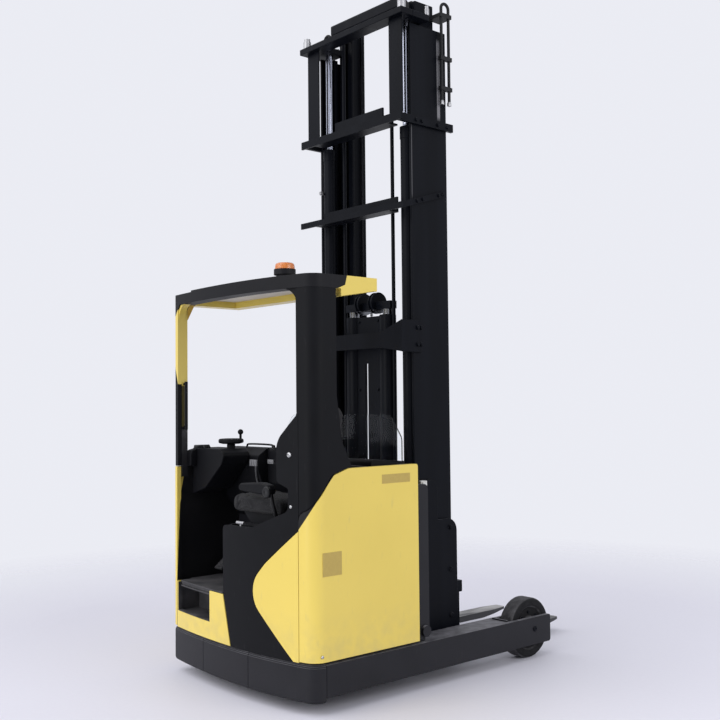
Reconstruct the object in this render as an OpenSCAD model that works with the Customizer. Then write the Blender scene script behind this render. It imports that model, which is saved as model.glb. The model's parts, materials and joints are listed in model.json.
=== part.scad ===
// Reach truck with a triple mast, in millimetres.
// X is across the truck, Y points forward to the forks, Z is up, and the floor is Z = 0.
// Each sub-part is written from the load wheels' axle line, and at_axle() puts it in the shared frame.

/* [Overall] */
// Half the width over the legs and the side covers
half_width = 633; // [600:1:660]
// Depth of the cab, from the battery back to the rearmost point
cab_depth = 504; // [480:1:540]
// Load axle forward to the fork tips
tip_reach = 690; // [600:1:860]
// Plan curve of the rear's right half
rear_radius = 2500; // [2200:10:3000]
// Plan curve of the rear's left half
left_rear = 4200; // [3600:10:5000]
// Plan radius of the right rear corner
corner_radius = 85; // [60:1:110]
// Plan radius of the left rear corner
left_radius = 24; // [16:1:30]
// Thickness of the body panels
panel = 28; // [20:1:34]
// Gap between two panels
seam = 4; // [2:1:8]

/* [Chassis] */
// Width of a leg
leg_width = 167; // [160:1:180]
// Underside of the legs
leg_bottom = 84; // [70:1:95]
// Top of the legs
leg_top = 242; // [238:1:246]
// Front end of the legs
leg_front = 144; // [120:1:170]
// Outer cheek beside a load wheel
cheek_out = 28; // [20:1:32]
// Inner cheek beside a load wheel
cheek_in = 24; // [20:1:28]
// Lower edge of the roller track in a leg's inner side
track_low = 118; // [110:1:118]
// Height of the roller track
track_height = 96; // [90:1:100]
// Depth of the roller track
track_depth = 70; // [66:1:80]
// Thickness of the deck plate
deck = 12; // [8:1:16]
// Length of the bumper
bumper_depth = 150; // [140:1:170]
// Lower edge of the bumper
bumper_low = 60; // [50:1:80]

/* [Wheels] */
// Radius of the load wheels
load_wheel_radius = 175; // [165:1:178]
// Width of the load wheels
load_wheel_width = 100; // [80:1:104]
// Radius of a load wheel's axle pin
pin = 25; // [20:1:30]
// Radius of the drive wheel
drive_radius = 172; // [165:1:173]
// Width of the drive wheel
drive_width = 130; // [110:1:134]
// Drive wheel, across
drive_x = 110; // [80:1:150]
// Drive wheel, forward of the rearmost point
drive_back = 265; // [255:1:290]

/* [Cab] */
// Width of the side cover that wraps the rear corner
corner_cover = 102; // [92:1:118]
// Right side of the entry, across
entry_x = -58; // [-90:1:-30]
// Front edge of the side covers, back from the battery's front face
cover_back = 69; // [50:1:90]
// Top of the right side cover
cover_top = 1194; // [1180:1:1210]
// Top of the left side cover
wall_top = 1165; // [1140:1:1180]
// Top of the cab floor
floor_top = 523; // [520:1:530]
// Height of the box under the seat
seat_box = 357; // [340:1:370]
// Top of the console and the dash
console_top = 1268; // [1240:1:1280]
// Underside of the overhead guard
guard_low = 2098; // [2080:1:2110]
// Height of the overhead guard's rails
guard_height = 68; // [62:1:76]
// Width of the overhead guard's rails
rail = 84; // [70:1:95]
// Inner side of the guard's left post, in from the side
post = 52; // [48:1:60]

/* [Battery] */
// Length of the battery along the truck
battery_length = 350; // [330:1:370]
// Gap from the battery to the mast's side webs
battery_gap = 125; // [122:1:140]
// Height of the battery
battery_height = 784; // [750:1:800]

/* [Mast] */
// Gap from a leg to the mast's side web
mast_gap = 56; // [50:1:62]
// Front edge of the side webs
mast_front = -466; // [-480:1:-460]
// Depth of the side webs
mast_depth = 295; // [290:1:305]
// Top of the outer stage
outer_top = 3704; // [3660:1:3710]
// Height of the outer stage's upper tie
tie_top = 3230; // [3200:1:3245]
// Top of the middle stage
middle_top = 3756; // [3740:1:3780]
// Top of the inner stage
inner_top = 3900; // [3880:1:3950]
// Thickness of the outer stage's webs
web = 18; // [14:1:20]
// Thickness of the outer stage's flanges
outer_flange = 30; // [24:1:34]
// Reach of the outer stage's flanges
flange_reach = 40; // [36:1:42]
// Thickness of the middle and inner channels
channel_wall = 16; // [12:1:18]
// Width of the middle and inner channels
channel_width = 46; // [42:1:48]
// Gap between two stages
stage_gap = 6; // [5:1:8]
// Radius of a main lift barrel
barrel_radius = 38; // [34:1:38]
// Radius of a main lift rod
rod_radius = 22.5; // [18:0.5:25]
// Free lift cylinders, across, as a share of the way out to the inner stage
free_share = 0.605; // [0.57:0.005:0.62]
// Radius of a free lift barrel
free_radius = 50; // [44:1:50]
// Radius of a free lift rod
free_rod = 30; // [26:1:32]

/* [Forks] */
// Inner side of a fork
fork_inner = 170; // [100:1:200]
// Width of a fork
fork_width = 120; // [100:1:140]
// Thickness of the fork blades and shanks
fork_thick = 40; // [36:1:45]
// Underside of the fork blades
fork_low = 50; // [45:1:70]
// Side shift each way
shift = 75; // [50:1:80]

/* [Hidden] */

YELLOW = [0.93, 0.66, 0.05];
BLACK = [0.06, 0.06, 0.07];
STEEL = [0.62, 0.64, 0.66];
GREY = [0.3, 0.31, 0.33];
BEIGE = [0.75, 0.72, 0.66];
AMBER = [0.95, 0.45, 0.05];
CLEAR = [0.7, 0.8, 0.85];

$fn = 64;

// Running gap at pins, rods and rollers, and the fit of bolted pieces
run = 0.3;
// Overlap that joins the shapes of one piece
weld = 1;

// Along the truck, from the mast back to the rear
mast_rear = mast_front - mast_depth;
battery_front = mast_rear - battery_gap;
battery_rear = battery_front - battery_length;
bulkhead = 26;
cab_front = battery_rear - bulkhead;
rear = battery_rear - cab_depth;
axle_y = (-rear - tip_reach) / 2;
// Where the straight sides begin, ahead of the rounded rear corners
function side_start(R, r) = rear + R - sqrt(pow(R - r, 2) - pow(half_width - r, 2));
right_start = side_start(rear_radius, corner_radius);
left_start = side_start(left_rear, left_radius);
leg_rear = rear + bumper_depth;
cover_front = battery_front - cover_back;
guard_front = battery_rear;
guard_top = guard_low + guard_height;
drive_y = rear + drive_back;

// Across the truck
leg_inner = half_width - leg_width;
load_wheel_x = half_width - (leg_width - cheek_in + cheek_out) / 2;
wall_x = half_width - panel;
seam_x = half_width - corner_cover;
mast_half = leg_inner - mast_gap;
web_in = mast_half - web;
flange_in = web_in - flange_reach;
middle_out = flange_in - stage_gap;
middle_in = middle_out - channel_width;
inner_out = middle_in - stage_gap;
inner_in = inner_out - channel_width;
free_x = free_share * inner_in;

// Heights
deck_low = leg_top + 8;
deck_top = deck_low + deck;
cover_low = deck_top - 4;
battery_high = deck_top + battery_height;
seat_box_top = floor_top + seat_box;
track_high = track_low + track_height;
fork_top = fork_low + fork_thick;

// Plate over the drive wheel that carries the motor
tower_top = drive_radius + 228;
tower_radius = drive_radius + 43;
turret_radius = 100;

// Legs: the slot behind a load wheel, the roller track and the reach rollers
slot_rear = -load_wheel_radius - 30;
track_front = slot_rear - 20;
roller_front = mast_rear - 79;
roller_rear = roller_front - 310;
track_rear = roller_rear - 65;
roller_z = track_low + track_height / 2;
cross_rear = track_rear - 60;
// Reach cylinder, across, and its height
reach_x = -268;
reach_z = 170;

// Mast: the groove of the outer stage, and the two channels inside it
groove_front = mast_front - outer_flange;
groove_rear = groove_front - 164;
middle_rear = groove_rear + stage_gap;
middle_front = groove_front - stage_gap;
inner_rear = middle_rear + channel_wall + stage_gap;
inner_front = middle_front - channel_wall - stage_gap;
mast_low = 100;
mast_foot = mast_low + 26;
stage_foot = mast_foot + 10;
stage_roller_z = stage_foot + 124;
// Ties behind the mast
tie_rear = mast_rear - 119;
tie_plate = 12;
// Main lift and free lift cylinders
lift_x = mast_half - 60;
lift_y = mast_rear + 26;
lift_high = tie_top - 118;
head_low = middle_top - 36;
head_depth = 92;
free_y = groove_rear - 55;
free_high = 2040;
cross_low = free_high + 35;
sheave_z = cross_low + 40;
sheave_radius = 56;
chain_low = 580;
chain_x = 60;

// Fork frame
tilt_y = mast_front + 6;
tilt_z = 180;
tilt_pin = 12;
tilt_front = tilt_y + 33;
bar_rear = tilt_front + 6;
bar_front = bar_rear + 68;
fork_face = bar_front + fork_thick;
bar_half = leg_inner - shift - 11;
bar_high = 473;
bar_low = 115;
bar_height = 66;

// Helpers

module at_axle() translate([0, axle_y, 0]) children();
module both() { children(); mirror([1, 0, 0]) children(); }
module box(x0, x1, y0, y1, z0, z1) translate([x0, y0, z0]) cube([x1 - x0, y1 - y0, z1 - z0]);
module rod_x(x0, x1, y, z, r) translate([x0, y, z]) rotate([0, 90, 0]) cylinder(h = x1 - x0, r = r);
module rod_y(x, y0, y1, z, r) translate([x, y1, z]) rotate([90, 0, 0]) cylinder(h = y1 - y0, r = r);
module rod_z(x, y, z0, z1, r) translate([x, y, z0]) cylinder(h = z1 - z0, r = r);

function unit(v) = v / norm(v);
function corner(a, b, c, r, n) = r <= 0 ? [b] :
    let (u = unit(a - b), v = unit(c - b), half = acos(u * v) / 2,
         o = b + unit(u + v) * r / sin(half), p = b + u * r / tan(half), q = b + v * r / tan(half),
         s = atan2(p[1] - o[1], p[0] - o[0]), d = atan2(q[1] - o[1], q[0] - o[0]) - s,
         e = d > 180 ? d - 360 : d < -180 ? d + 360 : d)
    [for (i = [0:n]) o + r * [cos(s + e * i / n), sin(s + e * i / n)]];

// Points of a closed outline whose corners [x, y, r] are rounded
function rounded(p, n = 6) = [for (i = [0:len(p) - 1])
    let (a = p[(i + len(p) - 1) % len(p)], b = p[i], c = p[(i + 1) % len(p)])
    each corner([a[0], a[1]], [b[0], b[1]], [c[0], c[1]], b[2], n)];

// Prism over an outline drawn as X, Z and run along Y, as Y, Z and run along X, or as X, Y and run up
module rear_view(p, y0, y1, n = 6)
    translate([0, y1, 0]) rotate([90, 0, 0]) linear_extrude(y1 - y0) polygon(rounded(p, n));
module side_view(p, x0, x1, n = 6)
    translate([x0, 0, 0]) rotate([90, 0, 90]) linear_extrude(x1 - x0) polygon(rounded(p, n));
module top_view(p, z0, z1, n = 6)
    translate([0, 0, z0]) linear_extrude(z1 - z0) polygon(rounded(p, n));

// The truck's plan, drawn in by a distance and cut off at a front line
module plan(inset, front) {
    a = half_width - inset;
    // halves as [side, radius of the rear, radius of the corner]
    halves = [[1, rear_radius - inset, max(corner_radius - inset, 12)],
        [-1, left_rear - inset, max(left_radius - inset, 6)]];
    intersection() {
        union() for (h = halves) let (s = h[0], R = h[1], r = h[2], yc = rear + inset + R,
            cy = yc - sqrt(pow(R - r, 2) - pow(a - r, 2)), xt = (a - r) * R / (R - r)) {
            intersection() {
                translate([0, yc]) circle(r = R, $fn = 480);
                translate([min(0, s * xt), rear - 10]) square([xt, R + 10]);
            }
            translate([min(-s * weld, s * a), cy]) square([a + weld, rear_radius]);
            translate([s * (a - r), cy]) circle(r = r);
        }
        translate([-a - 10, rear - 10]) square([2 * a + 20, front - rear + 10]);
    }
}
module slab(inset, front, z0, z1) translate([0, 0, z0]) linear_extrude(z1 - z0) plan(inset, front);
module wall(in0, in1, front, z0, z1)
    translate([0, 0, z0]) linear_extrude(z1 - z0)
        difference() { plan(in0, front); plan(in1, front + 50); }

// Chassis

module chassis_deck() color(BLACK) at_axle() {
    difference() {
        union() {
            slab(panel, battery_front, deck_low, deck_top);
            both() box(leg_inner + 4, wall_x - 5, leg_rear + 2, battery_front, leg_top, deck_low + weld);
            rod_z(drive_x, drive_y, deck_low, tower_top, tower_radius);
            // crossmember that holds the reach cylinder
            box(-leg_inner, leg_inner, cross_rear, track_rear, mast_low, deck_low + weld);
        }
        rod_z(drive_x, drive_y, 0, tower_top - 15, tower_radius - 12);
        rod_z(drive_x, drive_y, 0, tower_top + 1, turret_radius);
        rod_y(reach_x, cross_rear - 5, track_rear + 5, reach_z, 42);
    }
    // bulkhead between the cab and the battery
    box(-wall_x, wall_x, cab_front, battery_rear, deck_top + run, cover_top - 4);
    // gates at the battery's ends, each with a roller at its foot
    both() {
        side_view([[battery_front - 60, deck_top + run, 0], [battery_front + 36, deck_top + run, 20],
            [battery_front + 36, battery_high + 34, 30], [battery_front - 60, battery_high + 34, 0]],
            wall_x - 27, wall_x - 3);
        rod_x(wall_x - 4, wall_x + 14, battery_front + 2, deck_top + 34, 30);
    }
}

// Outline of the bumper's edge as [drawn in, up and down from the edge]
bumper_edge = [[0, 18], [2, 10], [6, 4], [12, 0]];
module bumper() color(BLACK) at_axle() difference() {
    for (e = bumper_edge) wall(e[0], 56, leg_rear - 2, bumper_low + e[1], deck_low - e[1]);
    // seams between the bumper's plates
    for (x = [-263, 168]) box(x - 1.5, x + 1.5, rear - 50, rear + 30, 0, deck_top);
}

module leg() {
    difference() {
        side_view([[leg_rear, leg_bottom, 0], [leg_front, leg_bottom, 16], [leg_front, leg_top, 10],
            [leg_rear, leg_top, 0]], leg_inner, half_width);
        box(leg_inner - 1, leg_inner + track_depth, track_rear, track_front, track_low, track_high);
        box(leg_inner + cheek_in, half_width - cheek_out, slot_rear, leg_front + 1, 0, leg_top + 60);
    }
    // axle pin, and a lip behind the wheel
    rod_x(leg_inner + 2, half_width - 2, 0, load_wheel_radius, pin);
    box(leg_inner + cheek_in, half_width - cheek_out, slot_rear - 16, slot_rear - 4, leg_top - weld, leg_top + 8);
}
module legs() color(BLACK) at_axle() both() leg();

// A load wheel with a recess between its hub and its tread
module load_wheel() {
    half = load_wheel_width / 2;
    tread = load_wheel_radius - 45;
    hub = pin + 37;
    edge = 10;
    recess = half - 16;
    rotate([0, 90, 0]) rotate_extrude($fn = 48) polygon([
        [pin + run, -half], [hub, -half], [hub + 6, -recess], [tread - 12, -recess], [tread, -half],
        [load_wheel_radius - edge, -half], [load_wheel_radius, -half + edge], [load_wheel_radius, half - edge],
        [load_wheel_radius - edge, half], [tread, half], [tread - 12, recess], [hub + 6, recess], [hub, half],
        [pin + run, half]]);
}
module load_wheel_right() color(GREY) at_axle() translate([load_wheel_x, 0, load_wheel_radius]) load_wheel();
module load_wheel_left() color(GREY) at_axle() translate([-load_wheel_x, 0, load_wheel_radius]) load_wheel();

module drive_motor() color(GREY) at_axle() rod_z(drive_x, drive_y, tower_top, floor_top - 27, 112);

// Steered bracket of the drive wheel, with one arm beside the wheel
arm_in = drive_width / 2 + 10;
arm_out = arm_in + 40;
axle_radius = 28;
module drive_turret() color(GREY) at_axle() difference() {
    union() {
        rod_z(drive_x, drive_y, tower_top - 48, tower_top - 22, turret_radius + 22);
        rod_z(drive_x, drive_y, tower_top - 30, tower_top - 3, turret_radius - run);
        box(drive_x - arm_out, drive_x - arm_in, drive_y - 70, drive_y + 70, drive_radius, tower_top - 40);
        rod_x(drive_x - arm_out, drive_x - arm_in, drive_y, drive_radius, 70);
    }
    rod_x(drive_x - arm_out - 1, drive_x - arm_in + 15, drive_y, drive_radius, axle_radius + run);
}
module drive_wheel() color(GREY) at_axle() translate([drive_x, drive_y, drive_radius]) {
    half = drive_width / 2;
    edge = 10;
    rotate([0, 90, 0]) rotate_extrude($fn = 48) polygon([[0, -half], [drive_radius - edge, -half],
        [drive_radius, -half + edge], [drive_radius, half - edge], [drive_radius - edge, half], [0, half]]);
    rod_x(-arm_out, -half + weld, 0, 0, axle_radius);
}

// Body panels

cover_side = [[cover_front, cover_low, 0], [cover_front, cover_top, 14], [right_start + 152, cover_top, 60],
    [right_start + 47, cover_top - 34, 60], [right_start - 80, cover_top - 209, 40],
    [right_start - 102, cover_top - 301, 0], [right_start - 102, cover_low, 0]];

module side_cover_right() color(YELLOW) at_axle() intersection() {
    wall(0, panel, cover_front, cover_low, cover_top);
    side_view(cover_side, seam_x + seam / 2, half_width + 5);
}

module side_cover_left() color(YELLOW) at_axle() intersection() {
    wall(0, panel, cover_front, cover_low, wall_top);
    box(-half_width - 5, -wall_x + 13, rear - 60, cover_front, cover_low, wall_top);
}

// The bulb's round side, and the black panel's edge a seam away from it, as [x, z, radius]
panel_low = deck_low + 2;
bulb_top = cover_top - 303;
bulb = [[seam_x - 230, bulb_top - 179, 120], [seam_x - 381, bulb_top - 331, 130]];

module rear_bulb() color(YELLOW) at_axle() intersection() {
    wall(0, panel, cab_front - 238, panel_low, bulb_top + 109);
    rear_view([[seam_x - seam / 2, bulb_top, 0], bulb[0], bulb[1], [seam_x - 37, panel_low, 0],
        [seam_x - seam / 2, panel_low, 0]], rear - 60, cab_front - 238, 10);
}

module rear_panel() color(BLACK) at_axle() intersection() {
    wall(3, panel, cab_front - 238, panel_low, seat_box_top + 620);
    rear_view([[entry_x + 73, panel_low, 0], [entry_x + 2, floor_top + 3, 40], [entry_x, seat_box_top, 26],
        [seam_x - 341, seat_box_top + 4, 80], [seam_x - 68, seat_box_top + 105, 40],
        [seam_x - 68, seat_box_top + 218, 14], [seam_x - 145, seat_box_top + 248, 30],
        [seam_x - 147, seat_box_top + 452, 120], [seam_x - 1, seat_box_top + 594, 0],
        [seam_x - 1, bulb_top + 5, 0], bulb[0] + [-2, 6, 0], bulb[1] + [-5, 0, 0], [seam_x - 41, panel_low, 0]],
        rear - 60, cab_front - 238, 10);
}

// Step in the left of the rear
step_left = -half_width + 52;
step_right = entry_x - 134;
step_low = deck_top + 83;
step_wall = 18;
step_edge = 9;
sleeve = 5;

module step_panel() color(YELLOW) at_axle() difference() {
    intersection() {
        wall(0, panel, cab_front - 238, panel_low, floor_top - 10);
        rear_view([[step_left - step_edge, panel_low, 0], [entry_x + 69, panel_low, 0],
            [entry_x, floor_top - 10, 0], [step_left - step_edge, floor_top - 10, 0]], rear - 60, cab_front - 238);
    }
    box(step_left, step_right, rear - 60, cab_front - 238, step_low, floor_top);
}

// Nosing over the step, as [drawn in at the rear, at the back, underside, top, right end]
nosing = [[2, 80, 8, 0, entry_x - 4], [8, 80, 20, 0, step_right - 2], [4, 26, 34, 26, step_right - 2],
    [12, 26, 34, 16, step_right - 2]];
pocket_top = floor_top - 17;
module cab_floor() color(BLACK) at_axle() {
    slab(74, cab_front, floor_top - 18, floor_top);
    for (lip = nosing) intersection() {
        wall(lip[0], lip[1], cab_front - 238, floor_top - lip[2], floor_top - lip[3]);
        box(-half_width + 93, lip[4], rear - 60, cab_front - 238, 0, floor_top);
    }
    // pocket behind the step's opening
    difference() {
        box(step_left - step_wall, step_right + step_wall, rear + 40, rear + 200, deck_top, pocket_top);
        box(step_left, step_right, rear + 30, rear + 182, step_low, floor_top);
        difference() {
            box(-half_width - 60, half_width + 60, rear - 60, rear + 240, 0, floor_top + 80);
            slab(panel, rear + 340, 0, floor_top + 80);
        }
    }
    // sleeve that lines the opening
    difference() {
        intersection() {
            wall(3, panel + weld, cab_front - 238, step_low + run, pocket_top);
            box(step_left + run, step_right - run, rear - 60, cab_front - 238, step_low + run, pocket_top);
        }
        box(step_left + sleeve, step_right - sleeve, rear - 60, cab_front, step_low + sleeve, floor_top);
    }
}

dash_split = entry_x - 142;
module dash() color(BLACK) at_axle() {
    side_view([[cab_front, console_top - 408, 0], [cab_front - 78, console_top - 308, 60],
        [cab_front - 143, console_top - 118, 60], [cab_front - 143, console_top - 43, 25],
        [cab_front - 78, console_top, 25], [cab_front, console_top, 0]], -wall_x, dash_split);
    side_view([[cab_front, console_top - 268, 0], [cab_front - 73, console_top - 198, 30],
        [cab_front - 73, console_top, 20], [cab_front, console_top, 0]], dash_split - weld, seam_x - 281);
}

// Console beside the entry, with the column of the steering wheel
column_x = -wall_x + 245;
column_y = rear + 260;
column_top = console_top + 26;
module console() color(BLACK) at_axle() {
    rear_view([[-wall_x, console_top - 268, 0], [-wall_x + 135, console_top - 228, 60],
        [-wall_x + 305, console_top - 88, 50], [-wall_x + 335, console_top - 28, 25],
        [-wall_x + 285, console_top, 20], [-wall_x, console_top, 0]], rear + 152, cab_front - 145);
    rod_z(column_x, column_y, console_top - 5, column_top, 24);
}
module steering_wheel() color(BLACK) at_axle() translate([column_x, column_y, column_top + 12]) {
    rotate_extrude() polygon(rounded([[0, -12, 0], [50, -12, 0], [72, -6, 8], [72, 16, 10], [52, 18, 4], [46, 8, 4],
        [0, 8, 0]]));
    // knob on a stem
    translate([36, 41, 6]) cylinder(h = 42, r = 7);
    translate([36, 41, 55]) sphere(r = 16);
}

// Seat that faces the left side
seat_front = -132;
seat_back_x = seam_x - 206;
seat_top = seat_box_top + 160;
module seat_base() color(BLACK) at_axle() {
    box(entry_x, entry_x + 20, rear + 50, cab_front, floor_top, seat_box_top);
    box(entry_x + 20 - weld, seam_x - 45, rear + 90, cab_front, seat_box_top - 20, seat_box_top);
    rear_view([[seat_front + 60, seat_box_top + 60, 0], [seat_front + 130, seat_box_top - weld, 0],
        [seam_x - 21, seat_box_top - weld, 0], [seam_x - 21, seat_box_top + 60, 0]], rear + 150, cab_front - 78);
}
module seat_cushion() color(GREY) at_axle()
    rear_view([[seat_front, seat_box_top + 60 + run, 30], [seat_front, seat_top, 45],
        [seat_back_x - 5, seat_top - 20, 20], [seat_back_x - 5, seat_box_top + 60 + run, 10]],
        rear + 100, cab_front - 83);
module seat_back() color(GREY) at_axle()
    rear_view([[seat_back_x, seat_box_top + 60 + run, 20], [seat_back_x + 50, seat_top + 440, 40],
        [seat_back_x + 95, seat_top + 490, 30], [seat_back_x + 140, seat_top + 440, 30],
        [seat_back_x + 120, seat_box_top + 60 + run, 20]], rear + 145, cab_front - 48);

// Overhead guard

pillar_front = right_start + 80;
pillar_edge = seam_x - 9;
// Front edge of the guard's black corner, which leans back to a tail under the rail
corner_front = right_start + 153;
module black_corner() side_view([[rear - 60, guard_low - 100, 0], [corner_front - 61, guard_low - 100, 0],
    [corner_front - 61, guard_low, 0], [corner_front - 13, guard_low + 20, 0], [corner_front, guard_top + 1, 0],
    [rear - 60, guard_top + 1, 0]], 0, half_width + 5);

module pillar_right() color(BLACK) at_axle() {
    intersection() {
        wall(panel, 72, pillar_front + 12, deck_top, guard_low);
        box(pillar_edge, half_width, rear - 60, pillar_front, deck_top, guard_low);
    }
    intersection() {
        wall(2, panel + weld, rear + 340, cover_top - 314, guard_low);
        side_view([[right_start - 106, cover_top - 296, 0], [right_start - 84, cover_top - 205, 40],
            [right_start + 43, cover_top - 29, 60], [right_start + 152, cover_top + seam, 60],
            [right_start + 177, cover_top + seam, 0], [right_start + 112, cover_top + 136, 120],
            [pillar_front, cover_top + 366, 120], [pillar_front, guard_low, 0],
            [rear - 60, guard_low, 0], [rear - 60, cover_top - 296, 0]], pillar_edge, half_width + 5);
        union() {
            box(seam_x + seam / 2, half_width + 5, rear - 60, rear + 440, cover_top - 400, seat_box_top + 597);
            box(pillar_edge, half_width + 5, rear - 60, rear + 440, seat_box_top + 596, guard_low);
        }
    }
    // fillet under the rear beam
    intersection() {
        wall(10, 72, pillar_front, guard_low - 90, guard_low);
        difference() {
            box(pillar_edge - 90, pillar_edge + weld, rear - 60, rear + 120, guard_low - 90, guard_low);
            rod_y(pillar_edge - 90, rear - 70, rear + 130, guard_low - 90, 90);
        }
    }
}

// Black cover of the left post, with a slanted top edge
cover_slant = [guard_low - 308, guard_low - 465];
post_front = left_start + 38;
handle_y = left_start + 16;
handle_z = [guard_low - 707, guard_low - 458];
module pillar_left() color(BLACK) at_axle() {
    intersection() {
        wall(2, panel, post_front, wall_top + seam, cover_slant[0]);
        rear_view([[-half_width - 5, wall_top + seam, 0], [-half_width + post, wall_top + seam, 0],
            [-half_width + post, cover_slant[1], 0], [-half_width - 5, cover_slant[0], 0]], rear - 60, post_front);
    }
    // grab handle on the post's inner side
    for (z = handle_z) rod_x(-half_width + post + run, -half_width + post + 22, handle_y, z, 8);
    rod_z(-half_width + post + 22, handle_y, handle_z[0] - 14, handle_z[1] + 14, 9);
}

beacon_x = 388;
beacon_y = rear + 92;
beacon_ring = guard_top + 12;
// End block of the rear beam at the left: how far in it goes, how much lower it is, and its slanted foot
block_x = -half_width + 233;
block_drop = 8;
module block_foot(gap) rear_view([[-half_width - 5, guard_low - 86 - gap, 0], [-half_width + post + 24, guard_low - gap, 0],
    [-half_width + post + 24, guard_top, 0], [-half_width - 5, guard_top, 0]], rear - 60, rear + 140);

module guard_rear() color(BLACK) at_axle() {
    intersection() {
        wall(0, rail, corner_front, guard_low, guard_top);
        union() {
            box(block_x, half_width + 5, rear - 60, rear + 140, guard_low, guard_top);
            intersection() {
                box(seam_x - 31, half_width + 5, rear - 60, corner_front, guard_low, guard_top);
                black_corner();
            }
        }
    }
    intersection() {
        wall(2, rail, rear + 140, guard_low - 86, guard_top - block_drop);
        union() {
            block_foot(0);
            box(-half_width + post, block_x + weld, rear - 60, rear + 140, guard_low, guard_top);
        }
    }
    // seat and ring of the beacon
    rod_z(beacon_x, beacon_y, guard_top - weld, beacon_ring, 44);
    rod_z(beacon_x, beacon_y, beacon_ring - weld, beacon_ring + 28, 56);
}

// Left post of the guard: bare above its black cover, with a fillet under the rear beam
module left_post() difference() {
    union() {
        intersection() {
            union() {
                wall(panel, post, post_front, wall_top - 60, guard_low - run);
                wall(2, panel + weld, post_front, cover_slant[1], guard_low - run);
            }
            box(-half_width - 5, -half_width + post, rear - 60, post_front, wall_top - 60, guard_low);
        }
        intersection() {
            wall(10, post, post_front, guard_low - 85, guard_low - run);
            difference() {
                box(-half_width + post - weld, -half_width + post + 85, rear - 60, rear + 150, guard_low - 85, guard_low);
                rod_y(-half_width + post + 85, rear - 70, rear + 160, guard_low - 85, 85);
            }
        }
    }
    // room for the black cover and for the end block's foot
    difference() {
        wall(0, panel, post_front + 1, wall_top, cover_slant[0] + seam);
        rear_view([[-half_width - 6, cover_slant[0] + seam, 0], [-half_width + post + weld, cover_slant[1] + seam, 0],
            [-half_width + post + weld, guard_low, 0], [-half_width - 6, guard_low, 0]], rear - 61, rear + 161);
    }
    block_foot(run);
}

module guard_frame() color(YELLOW) at_axle() {
    difference() {
        wall(0, rail, guard_front, guard_low, guard_top);
        box(-half_width - 5, half_width + 5, rear - 60, rear + 140, guard_low - 1, guard_top + 1);
        box(seam_x - 31, half_width + 5, rear + 139, corner_front - 61, guard_low - 1, guard_top + 1);
        black_corner();
    }
    box(-half_width + rail - weld, half_width - rail + weld, guard_front - 80, guard_front, guard_low, guard_top);
    // the right rail grows deeper towards the black corner
    side_view([[corner_front - 40, guard_low - 38, 0], [guard_front - 22, guard_low, 0],
        [guard_front - 22, guard_low + weld, 0], [corner_front - 40, guard_low + weld, 0]], half_width - 40, half_width);
    left_post();
}
module roof_panel() color(BEIGE) at_axle()
    slab(rail, guard_front - 80, guard_low + 36, guard_low + 48);

module beacon_lens() color(AMBER) at_axle() translate([beacon_x, beacon_y, beacon_ring + 28])
    rotate_extrude() polygon(rounded([[0, 0, 0], [52, 0, 0], [48, 32, 14], [0, 34, 0]]));

// Battery

module battery() color(GREY) at_axle()
    box(-wall_x + 45, wall_x - 45, battery_rear, battery_front, deck_top, battery_high);
module battery_cover() color(BLACK) at_axle() {
    side_view([[battery_rear, battery_high, 0], [battery_rear, cover_top + 34, 20],
        [cover_front - 45, cover_top + 2, 30], [cover_front + 3, cover_top - 6, 20],
        [battery_front, battery_high + 64, 30], [battery_front, battery_high, 0]], -wall_x + 29, wall_x - 29);
    // rail that holds the screen
    box(-wall_x + 75, wall_x - 75, cover_front - 30, cover_front - 2, cover_top - 24, cover_top + 12);
}
screen_half = wall_x - 75;
module screen() color(CLEAR) at_axle()
    rear_view([[-screen_half, cover_top + 12, 0], [-screen_half, cover_top + 136, 60],
        [-screen_half + 90, cover_top + 261, 60], [screen_half - 90, cover_top + 261, 60],
        [screen_half, cover_top + 136, 60], [screen_half, cover_top + 12, 0]], cover_front - 20, cover_front - 12);

// Reach carriage

reach_rod_radius = 20;
module reach_barrel() color(BLACK) at_axle() {
    difference() {
        rod_y(reach_x, mast_rear - 709, mast_rear - 39, reach_z, 40);
        rod_y(reach_x, mast_rear - 689, mast_rear - 79, reach_z, 26);
        rod_y(reach_x, mast_rear - 689, mast_rear - 38, reach_z, reach_rod_radius + run);
    }
    // clamp on the crossmember
    difference() {
        box(reach_x - 60, reach_x + 60, track_rear, track_rear + 15, reach_z - 60, reach_z + 60);
        rod_y(reach_x, track_rear - 50, track_rear + 50, reach_z, 35);
    }
}
module reach_rod() color(STEEL) at_axle()
    rod_y(reach_x, mast_rear - 669, mast_rear - 14, reach_z, reach_rod_radius);

frame_rear = mast_rear - 14;
frame_plate = 20;
module reach_frame() color(BLACK) at_axle() {
    both() {
        // side plates with a rounded top front corner, and the arms that run back along the legs
        side_view([[roller_rear - 45, track_low + 4, 0], [frame_rear, mast_low, 0], [mast_front + 6, mast_low, 30],
            [mast_front + 21, 190, 20], [mast_front + 21, 850, 70], [mast_rear + 161, 850, 0],
            [mast_rear + 161, 1080, 60], [frame_rear, 1080, 0], [frame_rear, 230, 60],
            [roller_rear - 45, track_high - 4, 20]], mast_half + run, mast_half + frame_plate);
        // rollers in the legs' tracks, each on its stub
        for (y = [roller_rear, roller_front]) {
            rod_x(mast_half + frame_plate - weld, leg_inner + 40, y, roller_z, 20);
            difference() {
                rod_x(leg_inner - 4, leg_inner + 60, y, roller_z, track_height / 2 - run);
                rod_x(leg_inner - 5, leg_inner + 40 + run, y, roller_z, 20 + run);
            }
        }
        // foot of a lift barrel
        box(lift_x - barrel_radius, web_in - run, frame_rear, groove_rear - outer_flange - 7, mast_foot, 232);
    }
    box(-mast_half, mast_half, frame_rear, mast_rear + 61, mast_low, mast_foot - run);
    // lug of the reach rod
    box(reach_x - 32, reach_x + 32, frame_rear, frame_rear + 30, mast_foot, reach_z + 45);
}

// Mast

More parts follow.
